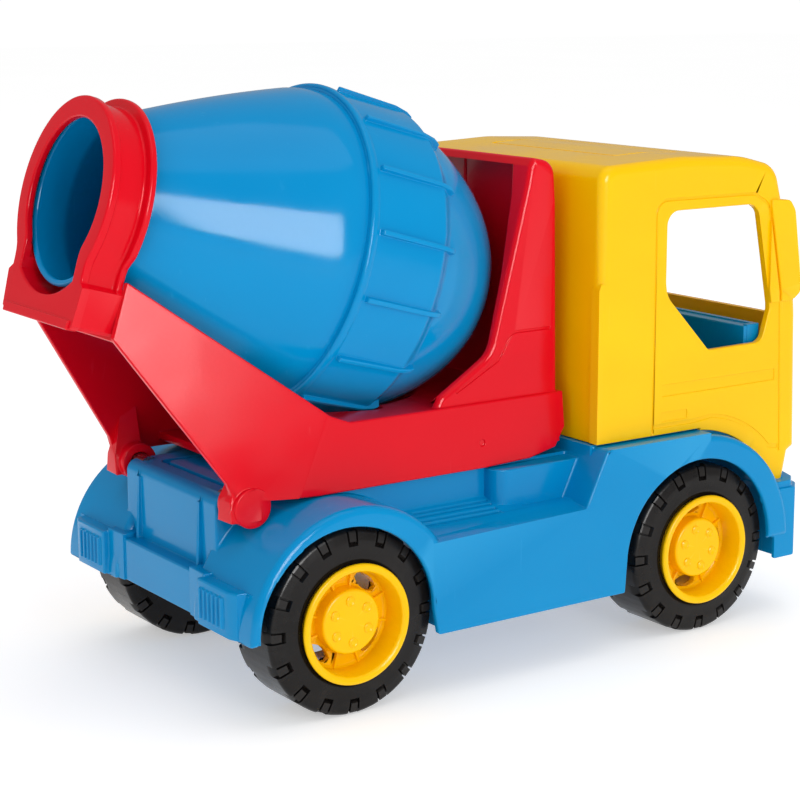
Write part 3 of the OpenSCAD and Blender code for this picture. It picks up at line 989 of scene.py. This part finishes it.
def front_fender():
    return pillow(arc(FRONT_FENDER_X, AXLE_Z - 0.5, FRONT_FENDER_R, 0, 180, 48), 50, HALF_W, 2.2)


def rear_bumper():
    """A bar with a stepped and ribbed block at each end, and a gusset up to the box."""
    low, high = 29.3, 43.9
    root = REAR_FACE + 1
    bar = upright(balanced([(root, -56), (-34.9, -56), (-34.9, -30), (-35.8, -22)]), low, high - 0.6)
    end = upright([(-30, 31.9), (-39, 31.9), (-39, 50.6), (-37.6, 54.0), (-34.6, 54.6), (-34.6, 57.6),
                   (-30, 58.4)], low, high)
    corner = upright([(-30, 22.5), (-36.4, 22.5), (-36.9, 32.5), (-30, 32.5)], low, high + 0.9)
    ribs = []
    for k in range(6):
        y = 34.6 + 2.6 * k
        plan = [(-38, y - 0.75), (-39.9, y - 0.45), (-39.9, y + 0.45), (-38, y + 0.75)]
        ribs.append(upright(plan, low + 2.6, high - 2.4))
    rings = []
    for y, taper in ((19.4, 0.5), (20.1, 0), (20.8, 0.5)):
        rings.append([(root, y, 42), (REAR_FACE - 2.0 + taper, y, 43), (REAR_FACE - 0.7, y, 64),
                      (root, y, 64)])
    gusset = stack(rings)
    return [bar] + both_sides(end, corner, gusset, *ribs)


def front_bumper():
    """The bar ahead of the front wheels, the ledge on it, and the bed of the lamps."""
    back = 174
    plan = balanced([(back, HALF_W - 0.6), (183.4, HALF_W - 0.6), (184.6, HALF_W - 1.8),
                     (188.4, HALF_W - 5.5), (FRONT_END, 48)])
    lamp_bed = balanced([(back, 56.6), (182.6, 56.6), (184.2, 54)])
    bar = upright(plan, SKIRT_Z, 46)
    ledge = upright([(x - 1.2, y * 0.985) for x, y in plan], 45, 48.4)
    return [bar, ledge, upright(lamp_bed, 44, 58.6)]


def side_hollows():
    """One side's wells for the wheels, their smaller outer openings, and the hollow behind the skirt."""
    below = -2
    inner_end, outer_start = 61.0, 60.2
    wells = [across(arch_outline(x, r, below), 33, inner_end)
             for x, r in ((0, REAR_WELL_R), (WHEELBASE, FRONT_WELL_R))]
    rear = [(29.6, below), (29.6, 18), (27.5, AXLE_Z)] + arc(-4, AXLE_Z, 31.3, 4, 180, 44)
    rear += [(-35.3, below)]
    front = [(171.9, below)] + arc(138.2, AXLE_Z, 32.6, 4, 176, 44) + [(104.5, 17), (104.5, below)]
    openings = [across(outline, outer_start, 70) for outline in (rear, front)]
    skirt = block((33.5, 39.5, -1), (104, HALF_W - CHASSIS_WALL, 46))
    return wells + openings + [skirt]


def chassis_hollows():
    """The open underside, from the rear box to the front bumper."""
    wall = CHASSIS_WALL
    core_half = CORE_HALF - wall - 6
    return [
        block((REAR_FACE + wall, -BOX_HALF + wall, -1), (12, BOX_HALF - wall, DECK_Z - 2.4)),
        block((4, -core_half, -1), (99, core_half, DECK_Z - wall - 0.4)),
        block((96, -31, -1), (180, 31, FRONT_DECK_Z - wall)),
        block((181, -56, -1), (FRONT_END - 3, 56, 43)),
    ]


def step_parts():
    """Beside the frame: a strip that slopes down outwards, and a raised part ahead of it."""
    inner, outer, low = CORE_HALF - 2, 54.0, 50
    rings = [[(x, inner, low), (x, outer, low), (x, outer, step_z(outer)), (x, inner, step_z(inner))]
             for x in (28, 70)]
    raised = upright(rounded([(61, 38, 0), (61, 50, 5), (99, 50, 0), (99, 38, 0)]), 50, 66.2)
    return [stack(rings), raised]


def step_z(y):
    """Height of the sloping strip."""
    return 53.3 + 0.31 * (54 - y)


def step_grooves():
    """Four grooves along the sloping strip."""
    width, pitch, depth = 1.15, 2.35, 1.2
    grooves = []
    for i in range(4):
        y = 44.9 + pitch * i
        bed = step_z(y) - depth
        rings = [[(x, y, bed), (x, y + width, bed), (x, y + width, 60), (x, y, 60)] for x in (31, 60.6)]
        grooves.append(stack(rings))
    return grooves


def deck_panel():
    """Sunk line round a panel on the rear box."""
    frame_line = rounded([(-22.6, -22, 2.5), (-22.6, 22, 2.5), (8, 22, 0), (8, -22, 0)])
    inside = rounded([(-20.8, -20.2, 2), (-20.8, 20.2, 2), (9, 20.2, 0), (9, -20.2, 0)])
    return cut(upright(frame_line, DECK_Z - 1.2, DECK_Z + 2), upright(inside, DECK_Z - 2, DECK_Z + 3))


def bearing_plates():
    """Cross plates inside that carry the axles."""
    plates = []
    for x, top in ((0, DECK_Z - 1.5), (WHEELBASE, FRONT_DECK_Z - 1.5)):
        plate = block((x - 9, 26.5, AXLE_Z - 8), (x + 9, 29.5, top))
        plates.append(cut(plate, across(circle(x, AXLE_Z, PLATE_BORE_R), 20, 36)))
    return both_sides(*plates)


def chassis():
    obj = chassis_body()
    cut(obj, *chassis_hollows())
    cut(obj, *both_sides(*side_hollows()))
    cut(obj, *both_sides(*step_grooves()), deck_panel())
    weld(obj, *bearing_plates())
    # bores of the axles, through every wall
    cut(obj, *[across(circle(x, AXLE_Z, AXLE_BORE_R), -61, 61) for x in (0, WHEELBASE)])
    # sockets of the tilt pins, and their bores
    socket = block((HINGE_X - 3.4, 23.4, HINGE_Z - 5), (HINGE_X + 5, BOX_HALF - 1, DECK_Z - 0.5))
    weld(obj, *both_sides(socket))
    cut(obj, *both_sides(across(circle(HINGE_X, HINGE_Z, TILT_BORE_R), 25, 45)))
    soften(obj, 0.7, 32, 3)
    return finish_piece(obj, "chassis", "lorry", BLUE, ("chassis",))


chassis()


# -------------------- cab

CAB_HALF = 57.5
CAB_BACK = 97.0
ROOF_Z = 164.2
CAB_WALL = 2.4


def cab_outline(inwards):
    """Side view of the cab, its walls moved inwards."""
    back, top = CAB_BACK + inwards, ROOF_Z - inwards
    low = FRONT_DECK_Z - 12 - inwards
    roof = [(back, top - 1.6, 5.5), (134, top, 60), (160, top - 1.2, 40), (175.2 - inwards, top - 5.0, 9)]
    front = [(178.4 - inwards, 148, 18), (186.4 - inwards, 112, 60), (188.0 - inwards, 59, 0)]
    under = [(185.0 - inwards, 57.4, 0), (182.6 - inwards, 46.4 - inwards, 0), (150, 40 - inwards, 0),
             (120, low, 0)]
    return rounded([(back, low, 0)] + roof + front + under, 8)


def window_outline():
    """Side view of a side window."""
    rear = [(125.5, 146.6, 5), (125.4, 118.9, 9), (145.1, 98.2, 2.5)]
    front = [(169.6, 98.5, 4), (173.2, 110.4, 6), (166.2, 146.6, 5)]
    return rounded(rear + front, 8)


def side_channel(path, width, depth):
    """A shallow groove in the cab's sides along a path in X and Z."""
    return both_sides(across(ribbon(path, width), CAB_HALF - depth, CAB_HALF + 6))


def cab_corner():
    """A sharper lower edge for the cab's back corner."""
    low = FRONT_DECK_Z + 0.35
    outline = [(CAB_BACK - 0.7, low), (CAB_BACK + 9, low), (CAB_BACK + 9, 123.6), (CAB_BACK + 0.4, 124.6),
               (CAB_BACK - 0.5, 122.6)]
    return across(outline, CAB_HALF - 4, CAB_HALF - 0.05)


def cab_mirror():
    """The raised mirror at the windscreen's corner."""
    outline = rounded([(172, 147.8, 0), (180.8, 147.2, 2.5), (183.4, 143.5, 5), (187.0, 118.6, 6),
                       (186.5, 114.6, 2), (183.0, 112.0, 2), (172, 112, 0)])
    return across(outline, CAB_HALF - 3, CAB_HALF + 1.1)


def roof_line():
    """Sunk line round a panel in the roof."""
    front, back, half, width, round_r = 150, 121, 35, 1, 2
    rims = []
    for w in (0, width):
        rims.append(rounded([(back + w, w - half, round_r), (front - w, w - half, round_r),
                             (front - w, half - w, round_r), (back + w, half - w, round_r)]))
    outer, inner = rims
    return cut(upright(outer, ROOF_Z - 1.2, ROOF_Z + 2), upright(inner, ROOF_Z - 5, ROOF_Z + 4))


def cab_lines():
    """The door's gap, a wide and a narrow bar under the window, and the line over the fender."""
    door = rounded_run([(120.3, 72), (120.3, 150.5), (164.5, 150.2), (171.4, 146.4), (177.2, 116),
                        (179.4, 58.6)], 5)
    sill = [(120.8, 74.4), (138, 74.4)] + arc(142, 32, 43.4, 84, 42, 9) + [(179, 60.4)]
    return (side_channel(door, 0.9, 0.45) + side_channel([(124.4, 86.4), (176.2, 86.4)], 4.0, 0.4)
            + side_channel([(124.3, 77.4), (135.7, 77.4)], 3.2, 0.35) + side_channel(sill, 1.3, 0.35))


def cab_shell():
    """A hollow shell with side windows and an open windscreen, cut out over the front wheels."""
    obj = pillow(cab_outline(0), -CAB_HALF, CAB_HALF, 3.2, 6)
    weld(obj, *both_sides(cab_corner()))
    weld(obj, *both_sides(cab_mirror()))
    inner_half = CAB_HALF - CAB_WALL
    hollow = across(cab_outline(CAB_WALL), -inner_half, inner_half)
    tub_room = block((CAB_BACK + CAB_WALL, -inner_half, 40), (185.6, inner_half, FRONT_DECK_Z + 3))
    cut(obj, hollow, tub_room)
    beyond = 80
    windscreen = block((150, -48.5, 106), (200, 48.5, 147.2))
    cut(obj, across(window_outline(), -beyond, beyond), windscreen)
    fender_room = arc(FRONT_FENDER_X, AXLE_Z, FRONT_FENDER_R + 0.35, -10, 190, 60)
    cut(obj, across(fender_room, -beyond, beyond),
        block((beyond, -beyond, 30), (WHEELBASE, beyond, FRONT_DECK_Z + 0.3)))
    cut(obj, *cab_lines())
    cut(obj, roof_line())
    soften(obj, 0.5, 34, 3)
    return finish_piece(obj, "cab_shell", "lorry", YELLOW, ("cab_shell",))


def cab_interior():
    """A tub with a dashboard and two seats."""
    floor_z = FRONT_DECK_Z + 0.35
    half = 54.0
    x0, x1 = 110.0, 172.0
    obj = block((x0, -half, floor_z), (x1, half, 97))
    weld(obj, block((x1 - 6, -half, 96), (x1, half, 104.4)))
    cut(obj, block((x0 - 2, -half + 2.4, floor_z + 2.4), (x1 - 2.4, half - 2.4, 120)))
    weld(obj, block((x1 - 7.5, -half + 0.2, 92), (x1 - 2, half - 0.2, 104)))
    cushion = block((128, 8, floor_z + 1), (148, 42, 86))
    backrest = block((119.5, 8, floor_z + 1), (128.5, 42, 106))
    weld(obj, *both_sides(cushion, backrest))
    soften(obj, 0.9, 34, 4)
    return finish_piece(obj, "cab_interior", "lorry", BLUE, ("cab_interior",))


cab_shell()
cab_interior()

for node in ("rear_axle", "front_axle", "drum_pivot_pin", "tilt_pin_left", "tilt_pin_right", "cab_screws",
             "collar_screws"):
    slots = frame["nodes"][node].data.materials
    slots.clear()
    slots.append(STEEL)


# -------------------- floor, light and camera

# The floor's reach and the lamps' sizes and distances are in metres

def plain_material(name, colour, roughness, glow):
    """Matt, almost even colour that shines a little by itself, so that shadows on it stay pale."""
    n = Nodes(name)
    darker = tuple(0.99 * c for c in colour[:3]) + (1,)
    n.set(Base_Color=n.mix(n.spread(n.noise(3, 2), 0, 1), colour, darker), Roughness=roughness)
    n.shader.inputs["Specular IOR Level"].default_value = 0.0
    n.set(Emission_Color=(1, 1, 1, 1), Emission_Strength=glow)
    return n.material


def floor():
    reach = 6.0
    mesh = bpy.data.meshes.new("floor")
    mesh.from_pydata([(-reach, -reach, 0), (reach, -reach, 0), (reach, reach, 0), (-reach, reach, 0)],
                     [], [(0, 1, 2, 3)])
    obj = bpy.data.objects.new("floor", mesh)
    bpy.context.scene.collection.objects.link(obj)
    mesh.materials.append(plain_material("pale_floor", (0.8, 0.8, 0.8, 1), 0.7, 0.42))


def direction(azimuth, elevation):
    """The way from the object to a lamp or a camera."""
    a, e = math.radians(azimuth), math.radians(elevation)
    return Vector((math.cos(a) * math.cos(e), math.sin(a) * math.cos(e), math.sin(e)))


def aimed(name, data, location, way):
    """A lamp or a camera that looks back along way."""
    obj = bpy.data.objects.new(name, data)
    obj.location = location
    obj.rotation_mode = "QUATERNION"
    obj.rotation_quaternion = way.to_track_quat("Z", "Y")
    bpy.context.scene.collection.objects.link(obj)
    return obj


def softbox(name, azimuth, elevation, distance, width, height, watts, target):
    """A rectangular area light facing target, from a direction round the object."""
    data = bpy.data.lights.new(name, "AREA")
    data.shape = "RECTANGLE"
    data.size = width
    data.size_y = height
    data.energy = watts
    way = direction(azimuth, elevation)
    return aimed(name, data, target + way * distance, way)


def studio():
    middle = (cad_low + cad_high) / 2
    softbox("side_box", -95, 17, 1.3, 0.42, 0.62, 3.6, middle).visible_glossy = False
    softbox("side_gloss", -100, 17, 1.3, 0.6, 0.62, 20.0, middle).visible_diffuse = False
    softbox("top_box", -70, 78, 1.6, 1.2, 1.2, 4.2, middle)
    world = bpy.data.worlds.new("studio")
    bpy.context.scene.world = world
    world.cycles.sampling_method = "NONE"
    world.use_nodes = True
    tree = world.node_tree
    background = tree.nodes["Background"]
    background.inputs["Color"].default_value = (1, 1, 1, 1)
    # the white room lights the toy, and shows less in its gloss than the softboxes do
    rays = tree.nodes.new("ShaderNodeLightPath")
    dim = tree.nodes.new("ShaderNodeMapRange")
    dim.inputs["To Min"].default_value = 0.72
    dim.inputs["To Max"].default_value = 0.35
    tree.links.new(rays.outputs["Is Glossy Ray"], dim.inputs["Value"])
    backdrop = tree.nodes.new("ShaderNodeMath")
    backdrop.operation = "MULTIPLY_ADD"
    backdrop.inputs[1].default_value = 0.3
    tree.links.new(rays.outputs["Is Camera Ray"], backdrop.inputs[0])
    tree.links.new(dim.outputs["Result"], backdrop.inputs[2])
    tree.links.new(backdrop.outputs["Value"], background.inputs["Strength"])


def camera():
    """The camera that was fitted to the photograph: its place, turn, lens and shift."""
    data = bpy.data.cameras.new("camera")
    data.sensor_width = 36
    data.lens = 90.79
    data.shift_x = -0.0570
    data.shift_y = -0.0445
    place = TO_FRAME @ Vector((-318.5, -554.3, 221.0))
    bpy.context.scene.camera = aimed("camera", data, place, direction(-125.46, 10.74))


floor()
studio()
camera()
bpy.context.scene.view_settings.view_transform = "Standard"
